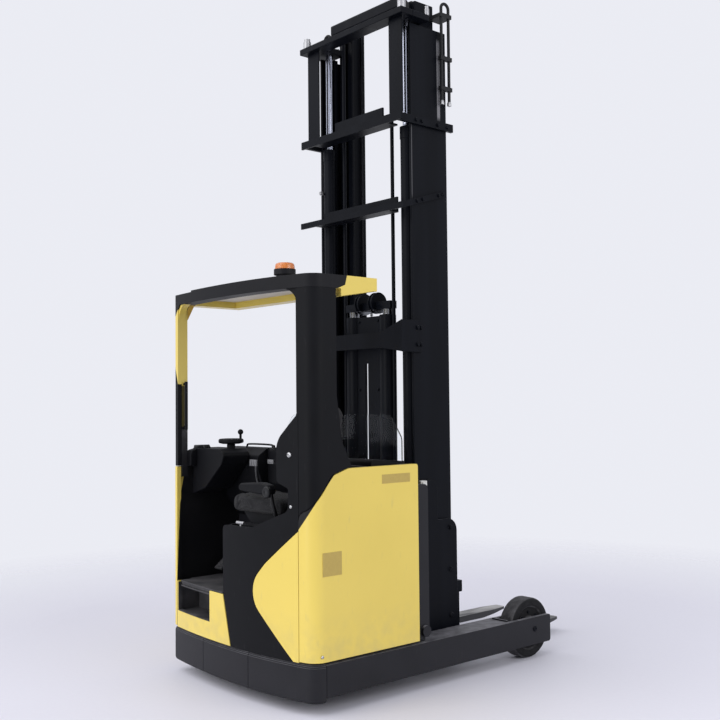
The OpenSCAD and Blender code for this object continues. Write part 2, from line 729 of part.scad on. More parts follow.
// One side of a stage: a web with two flanges turned inward, seen from above
module channel(x_out, y0, y1, z0, z1) {
    t = channel_wall;
    x_in = x_out - channel_width;
    top_view([[x_out, y0, 8], [x_out, y1, 8], [x_in, y1, 4], [x_in, y1 - t, 4], [x_out - t, y1 - t, 8],
        [x_out - t, y0 + t, 8], [x_in, y0 + t, 4], [x_in, y0, 4]], z0, z1, 3);
}

// A tie behind the mast: a lip, a flange, an upright plate on the flange, and arms forward along both webs
module tie(low, edge, high, upright, tip, front, rise) {
    flange = tie_rear + 90;
    box(-mast_half - tip, mast_half + tip, tie_rear, tie_rear + tie_plate, low, edge);
    box(-flange_in + 20, flange_in - 20, tie_rear + weld, flange, low, low + 10);
    box(-upright, upright, flange - tie_plate, flange, low, high);
    both() side_view([[tie_rear + tie_plate - weld, low, 0], [front, low + rise, 0], [front, edge + rise, 0],
        [tie_rear + tie_plate - weld, edge, 0]], mast_half + run, mast_half + 20);
}

// Ties as [underside, top of the lip, top of the upright plate and half its length, reach past the webs,
// front end of the arms, rise of the arms]
ties = [
    [tie_top - 618, tie_top - 583, tie_top - 528, flange_in - 20, 55, mast_front - 37, 111],
    [tie_top - 115, tie_top - 69, tie_top + 16, mast_half - 193, 45, mast_front + 35, 0]];
hang_low = ties[1][1] + 6;

module mast_outer() color(BLACK) at_axle() {
    both() top_view([[mast_half, mast_rear, 4], [mast_half, mast_front, 8], [flange_in, mast_front, 4],
        [flange_in, groove_front, 4], [web_in, groove_front, 8], [web_in, groove_rear, 8],
        [flange_in, groove_rear, 4], [flange_in, groove_rear - outer_flange, 4],
        [web_in, groove_rear - outer_flange, 8], [web_in, mast_rear, 4]], mast_foot, outer_top, 3);
    for (t = ties) tie(t[0], t[1], t[2], t[3], t[4], t[5], t[6]);
    // lowest tie, waisted, with deep ends
    waist = mast_half - 150;
    end = mast_half + 20;
    rear_view([[-end, 1807, 0], [-waist, 1835, 60], [waist, 1835, 60], [end, 1807, 0], [end, 1987, 0],
        [waist, 1925, 80], [-waist, 1925, 80], [-end, 1987, 0]], tie_rear + 10, tie_rear + 30);
    both() box(mast_half + run, mast_half + 20, tie_rear + 29, mast_rear + 60, 1807, 1987);
}

module lift_barrels() color(BLACK) at_axle() both() difference() {
    union() {
        rod_z(lift_x, lift_y, 232, lift_high, barrel_radius);
        // gland at the top
        rod_z(lift_x, lift_y, lift_high - 70, lift_high, barrel_radius + 3);
    }
    rod_z(lift_x, lift_y, 250, lift_high - 42, rod_radius + 6);
    rod_z(lift_x, lift_y, 250, lift_high + 8, rod_radius + run);
}

module mast_middle() color(BLACK) at_axle() {
    both() {
        channel(middle_out, middle_rear, middle_front, stage_foot, middle_top + 124);
        // roller in the outer stage's groove
        rod_x(middle_out + run, web_in - 9, (groove_rear + groove_front) / 2, stage_roller_z,
            (groove_front - groove_rear) / 2 - run);
        // plate that hangs from the head, behind the lift rod
        box(mast_half - 90, mast_half + 20, tie_rear + 36, tie_rear + 44, hang_low, head_low - run);
        // block of the head that a lift rod pushes
        box(middle_in, mast_half + 55, tie_rear + head_depth + run, middle_rear - run, head_low, middle_top);
    }
    box(-mast_half - 55, mast_half + 55, tie_rear, tie_rear + head_depth, head_low, middle_top);
}
// Hoses on the middle stage: one that arches over each lift rod, and a pair down each side, outside the webs
hose = 9;
hose_x = mast_half + 24;
hose_y = [middle_front - 23, middle_front + 37];
module mast_hoses() color(BLACK) at_axle() both() {
    // arch behind a lift rod's head
    translate([lift_x, lift_y - 10, middle_top + 60]) rotate([90, 0, 0])
        rotate_extrude(angle = 180) translate([28, 0]) circle(r = hose);
    for (s = [-28, 28]) rod_z(lift_x + s, lift_y - 10, middle_top + run, middle_top + 60, hose);
    // arch at the side, and its two runs
    mid_y = (hose_y[0] + hose_y[1]) / 2;
    translate([hose_x, mid_y, middle_top + 85]) rotate([90, 0, 90])
        rotate_extrude(angle = 180) translate([(hose_y[1] - hose_y[0]) / 2, 0]) circle(r = hose);
    for (y = hose_y) rod_z(hose_x, y, tie_top + 60, middle_top + 85, hose);
    // clamps on the runs, as [inner end, height], the highest bolted to the stage
    clamps = [[hose_x - 12, tie_top + 120], [hose_x - 12, tie_top + 300], [middle_out + run, middle_top + 30]];
    for (c = clamps) box(c[0], hose_x + 12, hose_y[0] - 16, hose_y[1] + 16, c[1], c[1] + 24);
}
module lift_rods() color(STEEL) at_axle() both() rod_z(lift_x, lift_y, 275, head_low, rod_radius);

module mast_inner() color(BLACK) at_axle() {
    both() {
        channel(inner_out, inner_rear, inner_front, stage_foot, inner_top);
        // roller in the middle stage's groove
        rod_x(inner_out + run, middle_out - channel_wall - 9, (middle_rear + middle_front) / 2, stage_roller_z,
            (middle_front - middle_rear) / 2 - channel_wall - run);
        // foot that carries a free lift barrel, in front of the reach rod's lug
        box(free_x - 50, inner_out - 12, frame_rear + 36, inner_rear - run, stage_foot, 245);
    }
    // bar behind the top, with a short arm to each channel
    top_half = mast_half - 110;
    side_view([[groove_rear - 100, inner_top - 74, 8], [groove_rear - 8, inner_top - 74, 8],
        [groove_rear - 8, inner_top - 8, 12], [groove_rear - 100, inner_top - 8, 12]], -top_half, top_half);
    both() box(inner_in + 8, inner_out - 4, groove_rear - 20, inner_rear - run, inner_top - 70, inner_top - 12);
    box(-free_x + 49, free_x - 49, free_y - free_radius, free_y + 15, stage_foot, 200);
}
module free_barrels() color(BLACK) at_axle() both() {
    difference() {
        rod_z(free_x, free_y, 245, free_high, free_radius);
        rod_z(free_x, free_y, 265, free_high - 50, free_rod + 6);
        rod_z(free_x, free_y, 265, free_high + 10, free_rod + run);
    }
    // feed pipe from the foot up to the top bar
    rod_z(free_x + free_radius + 17, free_y - 13, 245 + run, inner_top - 74 - run, 11);
}
module free_crosshead() color(GREY) at_axle() {
    both() {
        rod_z(free_x, free_y, 290, cross_low + weld, free_rod);
        // chain sheave with its groove
        difference() {
            rod_x(chain_x - 16, chain_x + 16, free_y, sheave_z, sheave_radius + 8);
            difference() {
                rod_x(chain_x - 11, chain_x + 11, free_y, sheave_z, sheave_radius + 20);
                rod_x(chain_x - 12, chain_x + 12, free_y, sheave_z, sheave_radius);
            }
        }
    }
    box(-free_x - free_radius, free_x + free_radius, free_y - 26, free_y + 26, cross_low, cross_low + 45);
}

// Leaf chain from the carriage up to its sheave: plates on pins at an even pitch
chain_pitch = 31;
chain_y = free_y + sheave_radius + run + 5;
module lift_chains() color(GREY) at_axle() both() {
    links = floor((sheave_z - chain_low) / chain_pitch);
    box(chain_x - 10, chain_x + 10, chain_y - 3.5, chain_y + 3.5, chain_low, sheave_z);
    for (i = [0:links - 1]) let (z = chain_low + (i + 0.5) * chain_pitch)
        box(chain_x - 9, chain_x + 9, chain_y - 5, chain_y + 5, z - 11, z + 11);
}

// Fork carriage and forks

plate_out = inner_in - 10;
plate_in = plate_out - 20;
inner_mid = (inner_rear + inner_front) / 2;
module fork_carriage() color(BLACK) at_axle() {
    both() {
        side_view([[inner_rear + 10, 150, 20], [inner_front - 5, 150, 20], [inner_front - 5, 800, 30],
            [inner_rear + 10, 800, 60]], plate_in, plate_out);
        // rollers in the inner stage's groove
        for (z = [250, 700]) rod_x(plate_out - 2, inner_out - channel_wall - 9, inner_mid, z,
            (inner_front - inner_rear) / 2 - channel_wall - run);
        // chain anchor, and the lug with the tilt pin
        box(chain_x - 15, plate_in + weld, chain_y - 6, inner_rear + 25, chain_low - 40, chain_low);
        box(plate_in, plate_out, inner_front - 10, tilt_y + 12, tilt_z - 24, tilt_z + 24);
        rod_x(plate_in - 35, plate_in + 2, tilt_y, tilt_z, tilt_pin);
    }
    for (z = [[300, 480], [640, 760]])
        box(-plate_in - weld, plate_in + weld, inner_front - 45, inner_front - 5, z[0], z[1]);
}
module tilt_frame() color(BLACK) at_axle() {
    rear_view([[-bar_half + 80, bar_low, 10], [bar_half - 80, bar_low, 10], [bar_half - 80, bar_high - 3, 10],
        [-bar_half + 80, bar_high - 3, 10]], tilt_front - 18, tilt_front);
    // pads that the fork bars slide on
    for (z = [bar_low + 7, bar_high - 58])
        box(-bar_half + 130, bar_half - 130, tilt_front - weld, bar_rear - run, z, z + 50);
    both() difference() {
        box(plate_in - 32, plate_in - 6, tilt_y - 20, tilt_front - 17, tilt_z - 24, tilt_z + 24);
        rod_x(plate_in - 40, plate_in, tilt_y, tilt_z, tilt_pin + run);
    }
}
module fork_bars() color(BLACK) at_axle() {
    // lower bar, and the upper one with a ridge along its top that the forks hook over
    side_view([[bar_rear, bar_low, 6], [bar_front, bar_low, 6], [bar_front, bar_low + bar_height, 6],
        [bar_rear, bar_low + bar_height, 6]], -bar_half, bar_half, 2);
    side_view([[bar_rear, bar_high - bar_height, 6], [bar_front, bar_high - bar_height, 6], [bar_front, bar_high, 0],
        [bar_rear, bar_high, 6]], -bar_half, bar_half, 2);
    both() box(bar_half - 50, bar_half - 20, bar_rear + 4, bar_front - 4, bar_low + bar_height - weld,
        bar_high - bar_height + weld);
}
fork_outer = fork_inner + fork_width;
module forks() color(GREY) at_axle() both() intersection() {
    side_view([[bar_front, fork_low, 20], [bar_front, bar_high, 0], [bar_front - 32, bar_high, 0],
        [bar_front - 32, bar_high + 27, 8], [fork_face, bar_high + 27, 8], [fork_face, fork_top, 24],
        [tip_reach, fork_top, 4], [tip_reach, fork_top - 14, 4], [tip_reach - 250, fork_low, 60]],
        fork_inner, fork_outer);
    top_view([[fork_inner, bar_rear, 0], [fork_outer, bar_rear, 0], [fork_outer, tip_reach - 140, 60],
        [fork_outer - 22, tip_reach, 20], [fork_inner + 22, tip_reach, 20], [fork_inner, tip_reach - 140, 60]],
        0, bar_high + 60);
}

// Drawing

chassis_deck();
bumper();
legs();
side_cover_right();
side_cover_left();
rear_panel();
rear_bulb();
step_panel();
cab_floor();
dash();
console();
steering_wheel();
seat_base();
seat_cushion();
seat_back();
pillar_right();
pillar_left();
guard_rear();
guard_frame();
roof_panel();
beacon_lens();
battery();
battery_cover();
screen();
drive_motor();
reach_barrel();
drive_turret();
drive_wheel();
load_wheel_right();
load_wheel_left();
reach_frame();
reach_rod();
mast_outer();
lift_barrels();
mast_middle();
mast_hoses();
lift_rods();
mast_inner();
free_barrels();
free_crosshead();
lift_chains();
fork_carriage();
tilt_frame();
fork_bars();
forks();
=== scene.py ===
"""Looks of the reach truck: finishes for its solids, and the cushions, controls and fasteners on them."""

import json
import math

import bmesh
import bpy
from mathutils import Matrix, Vector


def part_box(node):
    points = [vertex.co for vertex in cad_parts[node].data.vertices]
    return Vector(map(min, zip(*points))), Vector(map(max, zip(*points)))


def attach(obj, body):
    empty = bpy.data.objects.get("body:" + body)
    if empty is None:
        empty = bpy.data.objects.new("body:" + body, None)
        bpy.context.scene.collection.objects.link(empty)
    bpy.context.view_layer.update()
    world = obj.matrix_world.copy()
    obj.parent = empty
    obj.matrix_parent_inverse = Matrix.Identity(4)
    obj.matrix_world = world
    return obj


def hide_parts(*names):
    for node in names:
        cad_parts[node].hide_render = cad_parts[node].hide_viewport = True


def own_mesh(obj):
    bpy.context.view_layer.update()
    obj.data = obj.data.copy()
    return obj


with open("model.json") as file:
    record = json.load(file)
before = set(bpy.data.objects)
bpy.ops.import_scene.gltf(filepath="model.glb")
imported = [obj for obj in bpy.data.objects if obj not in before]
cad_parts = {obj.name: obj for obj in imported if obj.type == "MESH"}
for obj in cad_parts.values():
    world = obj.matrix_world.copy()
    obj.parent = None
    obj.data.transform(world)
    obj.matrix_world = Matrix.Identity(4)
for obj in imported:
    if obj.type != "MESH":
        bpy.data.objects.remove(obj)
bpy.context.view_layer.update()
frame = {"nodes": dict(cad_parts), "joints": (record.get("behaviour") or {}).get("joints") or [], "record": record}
nodes = frame["nodes"]
joint_at = {j["name"]: Vector(j["pos_m"]) for j in frame["joints"] if "pos_m" in j}

# Points of the truck are given in millimetres from the load axle, on the floor
MM = 0.001
AXLE_Y = joint_at["load_wheel_right_spin"].y


def at(x, y, z):
    """A point of the truck in metres, in the shared frame."""
    return Vector((x * MM, y * MM + AXLE_Y, z * MM))


X, Y, Z = Vector((1, 0, 0)), Vector((0, 1, 0)), Vector((0, 0, 1))
# Frames for an outline of [across, height], thickened to the rear,
# and for one of [along the truck, height], thickened to the right
UPRIGHT = Matrix.Rotation(math.pi / 2, 4, "X")
SIDE_ON = Matrix(((0, 0, 1, 0), (1, 0, 0, 0), (0, 1, 0, 0), (0, 0, 0, 1)))

# Camera

CAMERA_AT = at(4436, -4681, 1521)
CAMERA_YAW, CAMERA_PITCH, CAMERA_ROLL = (math.radians(a) for a in (48.85, 2.48, -0.54))
LENS, SENSOR = 49.6, 36.0


def make_camera():
    right = Vector((math.cos(CAMERA_YAW), math.sin(CAMERA_YAW), 0))
    ahead = Vector((-math.sin(CAMERA_YAW) * math.cos(CAMERA_PITCH),
                    math.cos(CAMERA_YAW) * math.cos(CAMERA_PITCH), math.sin(CAMERA_PITCH)))
    up = right.cross(ahead)
    c, s = math.cos(CAMERA_ROLL), math.sin(CAMERA_ROLL)
    axes = Matrix((c * right + s * up, c * up - s * right, -ahead)).transposed()
    data = bpy.data.cameras.new("camera")
    data.lens, data.sensor_width = LENS, SENSOR
    camera = bpy.data.objects.new("camera", data)
    camera.matrix_world = Matrix.Translation(CAMERA_AT) @ axes.to_4x4()
    bpy.context.scene.collection.objects.link(camera)
    bpy.context.scene.camera = camera


# Finishes


class Value:
    """A socket in a node tree; arithmetic on it adds Math nodes."""

    def __init__(self, owner, socket):
        self.owner, self.socket = owner, socket

    def math(self, operation, first, second):
        return self.owner.node("ShaderNodeMath", {"operation": operation}, {0: first, 1: second})

    def most(self, other):
        return self.math("MAXIMUM", self, other)

    def __add__(self, other):
        return self.math("ADD", self, other)

    def __sub__(self, other):
        return self.math("SUBTRACT", self, other)

    def __rsub__(self, other):
        return self.math("SUBTRACT", other, self)

    def __mul__(self, other):
        return self.math("MULTIPLY", self, other)

    __radd__, __rmul__ = __add__, __mul__


class NodeTree:
    """Adds nodes to a tree and feeds their sockets."""

    def __init__(self, tree):
        self.tree = tree

    def node(self, kind, settings=None, inputs=None, output=0):
        made = self.tree.nodes.new(kind)
        for key, value in (settings or {}).items():
            setattr(made, key, value)
        for key, value in (inputs or {}).items():
            self.feed(made.inputs[key], value)
        return Value(self, made.outputs[output])

    def feed(self, socket, value):
        if isinstance(value, Value):
            self.tree.links.new(value.socket, socket)
        else:
            socket.default_value = value


class Finish(NodeTree):
    """A material whose surface is worked out from the place on the truck."""

    def __init__(self, name):
        self.material = bpy.data.materials.new(name)
        self.material.use_nodes = True
        super().__init__(self.material.node_tree)
        self.shader = self.tree.nodes["Principled BSDF"]
        self.place = self.node("ShaderNodeTexCoord", output="Object")

    def surface(self, **sockets):
        """Sets the shader's sockets, written with _ for a space."""
        for name, value in sockets.items():
            self.feed(self.shader.inputs[name.replace("_", " ")], value)
        return self.material

    def stretched(self, x, y, z):
        return self.node("ShaderNodeVectorMath", {"operation": "MULTIPLY"}, {0: self.place, 1: (x, y, z)})

    def noise(self, scale, detail=3.0, place=None):
        return self.node("ShaderNodeTexNoise", {},
                         {"Vector": place or self.place, "Scale": scale, "Detail": detail})

    def stripes(self, scale, direction):
        return self.node("ShaderNodeTexWave", {"bands_direction": direction},
                         {"Vector": self.place, "Scale": scale})

    def share(self, value, low, high):
        """0 where a value is at low, 1 where it is at high, and held there beyond."""
        return self.node("ShaderNodeMapRange", {}, {"Value": value, "From Min": low, "From Max": high})

    def mix(self, share, first, second):
        return self.node("ShaderNodeMix", {"data_type": "RGBA"}, {0: share, 6: first, 7: second}, output=2)

    def faces(self, axis):
        """How far the surface faces along an axis, from -1 to 1."""
        normal = self.node("ShaderNodeNewGeometry", output="Normal")
        return self.node("ShaderNodeSeparateXYZ", {}, {0: normal}, output=axis)

    def along(self, axis):
        """The place along an axis, in metres."""
        return self.node("ShaderNodeSeparateXYZ", {}, {0: self.place}, output=axis)

    def bump(self, height, distance, strength=1.0):
        return self.node("ShaderNodeBump", {}, {"Height": height, "Distance": distance, "Strength": strength})


def rgb(r, g, b):
    return (r, g, b, 1.0)


DUST = rgb(0.35, 0.345, 0.375)
# Rear edge of the left wall's black lining: its place, its lean, and its flare between two heights
LINING_Y, LINING_LEAN, LINING_FLARE = at(0, -1722, 0).y, 0.045, 0.035
FLARE_LOW, FLARE_HIGH = 0.95, 1.16
# The left post: top of its painted shade (its yellow darkened as in shadow), top of its black sleeve, and its
# inner side
POST_SHADE_TOP, SLEEVE_FOOT, SLEEVE_X = 1.632, 1.396, -0.55
# Lower edge of the black on the right rear corner: its slope along [across, along the truck], and its height
CORNER_SLOPE = (0.987, 1.13)
CORNER_Z = 2.273 - CORNER_SLOPE[1] * AXLE_Y


def yellow_paint(name, lined=False, sleeved_and_shaded=False, cornered=False):
    """Yellow enamel, scuffed and splashed near the floor, with black where a piece has it, and painted shade on
    the left post where asked.
    """
    f = Finish(name)
    height = f.along("Z")
    blotch = f.share(f.noise(2.6, 4), 0.32, 0.72)
    scuff = f.share(f.noise(38, 6, f.stretched(1, 1, 0.3)), 0.63, 0.8)
    splash = f.share(height, 0.5, 0.26) * f.share(f.noise(14, 6), 0.4, 0.7)
    colour = f.mix(blotch * 0.6, rgb(0.78, 0.6, 0.125), rgb(0.72, 0.55, 0.11))
    colour = f.mix(scuff * 0.22 + splash * 0.3, colour, rgb(0.42, 0.36, 0.2))
    black = 0.0
    if lined:
        # the side that faces the driver is black
        flare = f.share(height, FLARE_LOW, FLARE_HIGH) * LINING_FLARE
        edge = f.along("Y") - height * LINING_LEAN - flare - LINING_Y
        lining = f.share(f.faces("X"), 0.3, 0.5) * f.share(edge, 0.0, 0.002)
        colour = f.mix(lining, colour, rgb(0.006, 0.006, 0.007))
    if cornered:
        # the black of the pillar runs down over the corner to the rear panel
        above = height - f.along("X") * CORNER_SLOPE[0] - f.along("Y") * CORNER_SLOPE[1]
        black = f.share(above, CORNER_Z, CORNER_Z + 0.003)
        colour = f.mix(black, colour, rgb(0.0022, 0.0024, 0.0034))
    if sleeved_and_shaded:
        # the left post gets painted shade below the slanted cover (its yellow darkened to olive as in shadow), and
        # a black sleeve at its foot
        left = f.share(f.along("X"), SLEEVE_X, SLEEVE_X - 0.002)
        post_shade = left * f.share(height, POST_SHADE_TOP, POST_SHADE_TOP - 0.004)
        foot = left * f.share(height, SLEEVE_FOOT, SLEEVE_FOOT - 0.006)
        colour = f.mix(post_shade, colour, rgb(0.1, 0.082, 0.026))
        colour = f.mix(foot, colour, rgb(0.012, 0.012, 0.014))
    return f.surface(Base_Color=colour, Roughness=0.34 + blotch * 0.1 + scuff * 0.15 + black * 0.35,
                     Specular_IOR_Level=0.35, Coat_Weight=0.2 - black * 0.2, Coat_Roughness=0.15,
                     Normal=f.bump(f.noise(420, 2), 0.0001, 0.35))


# The underside of the rear beam's left end, yellow with painted shade: its inner side, its rear edge and its
# height
BEAM_END_X, BEAM_END_Y, BEAM_END_Z = -0.5, at(0, -1634, 0).y, 2.0985


def dusty_black(name, colour, rough, dust, grain=(260, 0.0001), shine=0.22, yellow_end_in_shade=False):
    """Black paint or plastic with a fine grain, and dust where it faces up."""
    f = Finish(name)
    blotch = f.share(f.noise(5, 4), 0.3, 0.75)
    settled = f.share(f.faces("Z"), 0.5, 0.95) * f.share(f.noise(22, 5), 0.1, 0.75)
    rub = f.share(f.noise(60, 6, f.stretched(1, 1, 0.2)), 0.64, 0.8)
    shade = f.mix(blotch, rgb(*colour), rgb(*(c * 1.5 for c in colour)))
    shade = f.mix(settled * dust + rub * 0.03, shade, DUST)
    if yellow_end_in_shade:
        # the underside of the beam's left end, ahead of the post: yellow paint, with painted shade darkening it to
        # orange-brown
        ahead = f.share(f.along("Y"), BEAM_END_Y, BEAM_END_Y + 0.001)
        below = f.share(f.along("Z"), BEAM_END_Z, BEAM_END_Z - 0.001)
        left = f.share(f.along("X"), BEAM_END_X, BEAM_END_X - 0.002)
        shade = f.mix(ahead * below * left, shade, rgb(0.62, 0.4, 0.07))
    return f.surface(Base_Color=shade, Roughness=rough + blotch * 0.1 + settled * 0.2 + rub * 0.1,
                     Specular_IOR_Level=shine, Normal=f.bump(f.noise(grain[0], 3), grain[1], 0.5))


# Rear faces ahead of this line are the front flanges' roller tracks
TRACK_Y = at(0, -545, 0).y
# Lighter grey strips on the outer stage's right web as [rear edge, front edge, underside, top, share of the grey]
WEB_STRIPS = ((-0.545, -0.517, 3.168, 3.66, 0.75), (-0.762, -0.750, 2.68, 3.12, 0.3))


def mast_paint(name, rods_below=0.0, grey_strips=False):
    """Black enamel with run-down grease; below a height the piece is polished rod."""
    f = Finish(name)
    streak = f.share(f.noise(9, 5, f.stretched(1, 1, 0.05)), 0.4, 0.75)
    grease = f.share(f.noise(16, 5, f.stretched(1, 1, 0.12)), 0.55, 0.8)
    settled = f.share(f.faces("Z"), 0.5, 0.95) * f.share(f.noise(24, 5), 0.2, 0.7)
    colour = f.mix(streak, rgb(0.0022, 0.0028, 0.005), rgb(0.0045, 0.0055, 0.009))
    colour = f.mix(settled * 0.16, colour, DUST)
    # the front flanges are rubbed bright where the rollers run
    track = f.share(f.faces("Y"), -0.9, -0.95) * f.share(f.along("Y"), TRACK_Y, TRACK_Y + 0.002)
    worn = track * f.share(f.noise(12, 5, f.stretched(6, 1, 0.08)), 0.42, 0.62)
    colour = f.mix(worn * 0.6, colour, rgb(0.2, 0.2, 0.22))
    if grey_strips:
        along, height = f.along("Y") - AXLE_Y, f.along("Z")
        # lighter grey strips laid over the black of the right web
        for rear, front, low, high, grey_share in WEB_STRIPS:
            across = f.share(along, rear, rear + 0.004) * f.share(along, front, front - 0.004)
            tall = f.share(height, low, low + 0.03) * f.share(height, high, high - 0.03)
            strip = across * tall * f.share(f.faces("X"), 0.9, 0.95)
            colour = f.mix(strip * grey_share, colour, rgb(0.27, 0.265, 0.28))
    rough, metal = 0.42 - grease * 0.14 + settled * 0.2, 0.0
    if rods_below:
        metal = f.share(f.along("Z"), rods_below, rods_below - 0.002)
        colour, rough = f.mix(metal, colour, rgb(0.16, 0.165, 0.18)), rough - metal * 0.2
    return f.surface(Base_Color=colour, Roughness=rough, Metallic=metal, Specular_IOR_Level=0.08,
                     Normal=f.bump(f.noise(300, 3), 0.00008, 0.4))


def bare_metal(name, colour, rough):
    """Steel with fine upright lines and stains."""
    f = Finish(name)
    lines = f.noise(900, 2, f.stretched(1, 1, 0.04))
    stain = f.share(f.noise(18, 5), 0.5, 0.8)
    shade = f.mix(stain * 0.5, rgb(*colour), rgb(*(c * 0.6 for c in colour)))
    return f.surface(Base_Color=shade, Metallic=1.0, Roughness=rough + lines * 0.1 + stain * 0.12)


def fork_steel():
    f = Finish("fork_steel")
    worn = f.share(f.faces("Z"), 0.4, 0.9) * f.share(f.noise(20, 6, f.stretched(1, 0.15, 1)), 0.35, 0.62)
    colour = f.mix(worn, rgb(0.02, 0.02, 0.023), rgb(0.3, 0.29, 0.28))
    return f.surface(Base_Color=colour, Metallic=worn * 0.8, Roughness=0.5 - worn * 0.15,
                     Normal=f.bump(f.noise(90, 5), 0.0003, 0.5))


def wheel_rubber():
    f = Finish("wheel_rubber")
    grime = f.share(f.noise(30, 6), 0.35, 0.7)
    colour = f.mix(grime, rgb(0.03, 0.03, 0.033), rgb(0.095, 0.093, 0.097))
    # the side walls stay black, the tread goes grey
    wall = f.share(f.faces("X") * f.faces("X"), 0.4, 0.8)
    colour = f.mix(wall, colour, rgb(0.006, 0.006, 0.007))
    return f.surface(Base_Color=colour, Roughness=0.62 + grime * 0.2, Specular_IOR_Level=0.2,
                     Normal=f.bump(f.noise(160, 5), 0.0004, 0.6))


def seat_cloth():
    f = Finish("seat_cloth")
    weave = f.stripes(420, "X") * f.stripes(420, "Y")
    wear = f.share(f.noise(12, 5), 0.35, 0.75)
    colour = f.mix(weave, rgb(0.007, 0.007, 0.0085), rgb(0.02, 0.02, 0.0225))
    colour = f.mix(wear * 0.35, colour, rgb(0.032, 0.031, 0.032))
    return f.surface(Base_Color=colour, Roughness=0.82, Sheen_Weight=0.08, Sheen_Roughness=0.5,
                     Specular_IOR_Level=0.2, Normal=f.bump(weave, 0.0006, 0.6))


def ribbed_mat():
    f = Finish("ribbed_mat")
    ribs = f.stripes(34, "X")
    tread = f.share(f.noise(10, 5), 0.35, 0.7)
    colour = f.mix(tread * 0.6, rgb(0.02, 0.02, 0.023), rgb(0.085, 0.08, 0.085))
    return f.surface(Base_Color=colour, Roughness=0.7 + tread * 0.15, Normal=f.bump(ribs, 0.002, 0.6))


def ceiling_plastic():
    f = Finish("ceiling_plastic")
    blotch = f.noise(6, 4)
    colour = f.mix(blotch, rgb(0.7, 0.66, 0.58), rgb(0.6, 0.55, 0.46))
    return f.surface(Base_Color=colour, Roughness=0.55, Normal=f.bump(f.noise(500, 3), 0.0002, 0.5))


def amber_lens():
    f = Finish("amber_lens")
    ribs = f.stripes(60, "Z")
    colour = f.mix(ribs, rgb(0.92, 0.3, 0.03), rgb(0.8, 0.19, 0.02))
    return f.surface(Base_Color=colour, Roughness=0.16, Transmission_Weight=0.35, IOR=1.49, Coat_Weight=0.5,
                     Normal=f.bump(ribs, 0.001, 0.5))


def clear_screen():
    f = Finish("clear_screen")
    smear = f.share(f.noise(9, 5, f.stretched(1, 1, 0.2)), 0.45, 0.8)
    return f.surface(Base_Color=rgb(0.93, 0.95, 0.96), Roughness=0.02 + smear * 0.1,
                     Transmission_Weight=1.0, IOR=1.15)


def tan_plate():
    f = Finish("tan_plate")
    blotch = f.noise(55, 5)
    colour = f.mix(blotch, rgb(0.5, 0.365, 0.085), rgb(0.42, 0.3, 0.075))
    return f.surface(Base_Color=colour, Roughness=0.45 + blotch * 0.15)


def white_plastic():
    f = Finish("white_plastic")
    grime = f.share(f.noise(60, 5), 0.4, 0.75)
    colour = f.mix(grime, rgb(0.72, 0.72, 0.7), rgb(0.5, 0.49, 0.46))
    return f.surface(Base_Color=colour, Roughness=0.42)


# Grain of moulded plastic, and the height where the crosshead's polished rods end
MOULDED = (520, 0.00025)
CROSSHEAD_LOW = 2.074

# Finishes by the record's slots
FINISHES = {
    "yellow_paint": yellow_paint("yellow_paint"),
    "black_paint": dusty_black("chassis_paint", (0.009, 0.009, 0.0115), 0.42, 0.55),
    "mast_black": mast_paint("mast_paint"),
    "black_plastic": dusty_black("grained_plastic", (0.0038, 0.004, 0.0052), 0.5, 0.06, MOULDED, 0.1),
    "floor_rubber": ribbed_mat(),
    "hose_rubber": dusty_black("hose_rubber", (0.008, 0.008, 0.009), 0.5, 0.12, (400, 0.0002)),
    "seat_fabric": seat_cloth(),
    "roof_plastic": ceiling_plastic(),
    "amber_lens": amber_lens(),
    "clear_screen": clear_screen(),
    "chrome_rod": bare_metal("chrome_rod", (0.42, 0.44, 0.52), 0.14),
    "bare_steel": bare_metal("bare_steel", (0.42, 0.42, 0.43), 0.34),
    "battery_steel": dusty_black("battery_paint", (0.016, 0.016, 0.018), 0.5, 0.25),
    "motor_cast": dusty_black("cast_grey", (0.06, 0.06, 0.064), 0.6, 0.3, (120, 0.0008)),
    "wheel_tread": wheel_rubber(),
    "fork_steel": fork_steel(),
}
TAN, WHITE = tan_plate(), white_plastic()
# Solids whose finish isn't the same all over
OWN_FINISH = {
    "side_cover_left": yellow_paint("lined_yellow", lined=True),
    "side_cover_right": yellow_paint("cornered_yellow", cornered=True),
    "guard_frame": yellow_paint("guard_yellow", sleeved_and_shaded=True),
    "guard_rear": dusty_black("beam_plastic", (0.0055, 0.0055, 0.007), 0.5, 0.06, MOULDED, 0.14,
                              yellow_end_in_shade=True),
    "mast_outer": mast_paint("outer_paint", grey_strips=True),
    "free_crosshead": mast_paint("crosshead_paint", rods_below=CROSSHEAD_LOW),
}
GREY = dusty_black("grey_plastic", (0.2, 0.2, 0.21), 0.4, 0.05)
GLOSS_BLACK = dusty_black("gloss_plastic", (0.006, 0.006, 0.007), 0.16, 0.03, (600, 0.00004))

# Solids: each gets its slot's finish, and its edges are broken by a small round

# Round of the edges in millimetres, where it isn't the usual one
EDGE = 2.5
EDGES = {"bumper": 5, "side_cover_right": 4, "side_cover_left": 4, "rear_bulb": 4, "rear_panel": 4,
         "guard_rear": 9, "guard_frame": 7, "pillar_right": 6, "legs": 4, "forks": 3, "load_wheel_right": 7,
         "load_wheel_left": 7, "drive_wheel": 6, "battery_cover": 6, "console": 6, "dash": 6, "screen": 1.5,
         "beacon_lens": 0, "lift_chains": 0, "mast_hoses": 0, "steering_wheel": 1.5, "lift_rods": 1,
         "reach_rod": 1}
# Points closer than this are one; faces within the first angle are flat, edges over the second are rounded
WELD_GAP = 0.02 * MM
FLAT_ANGLE, EDGE_ANGLE = math.radians(0.4), math.radians(38)


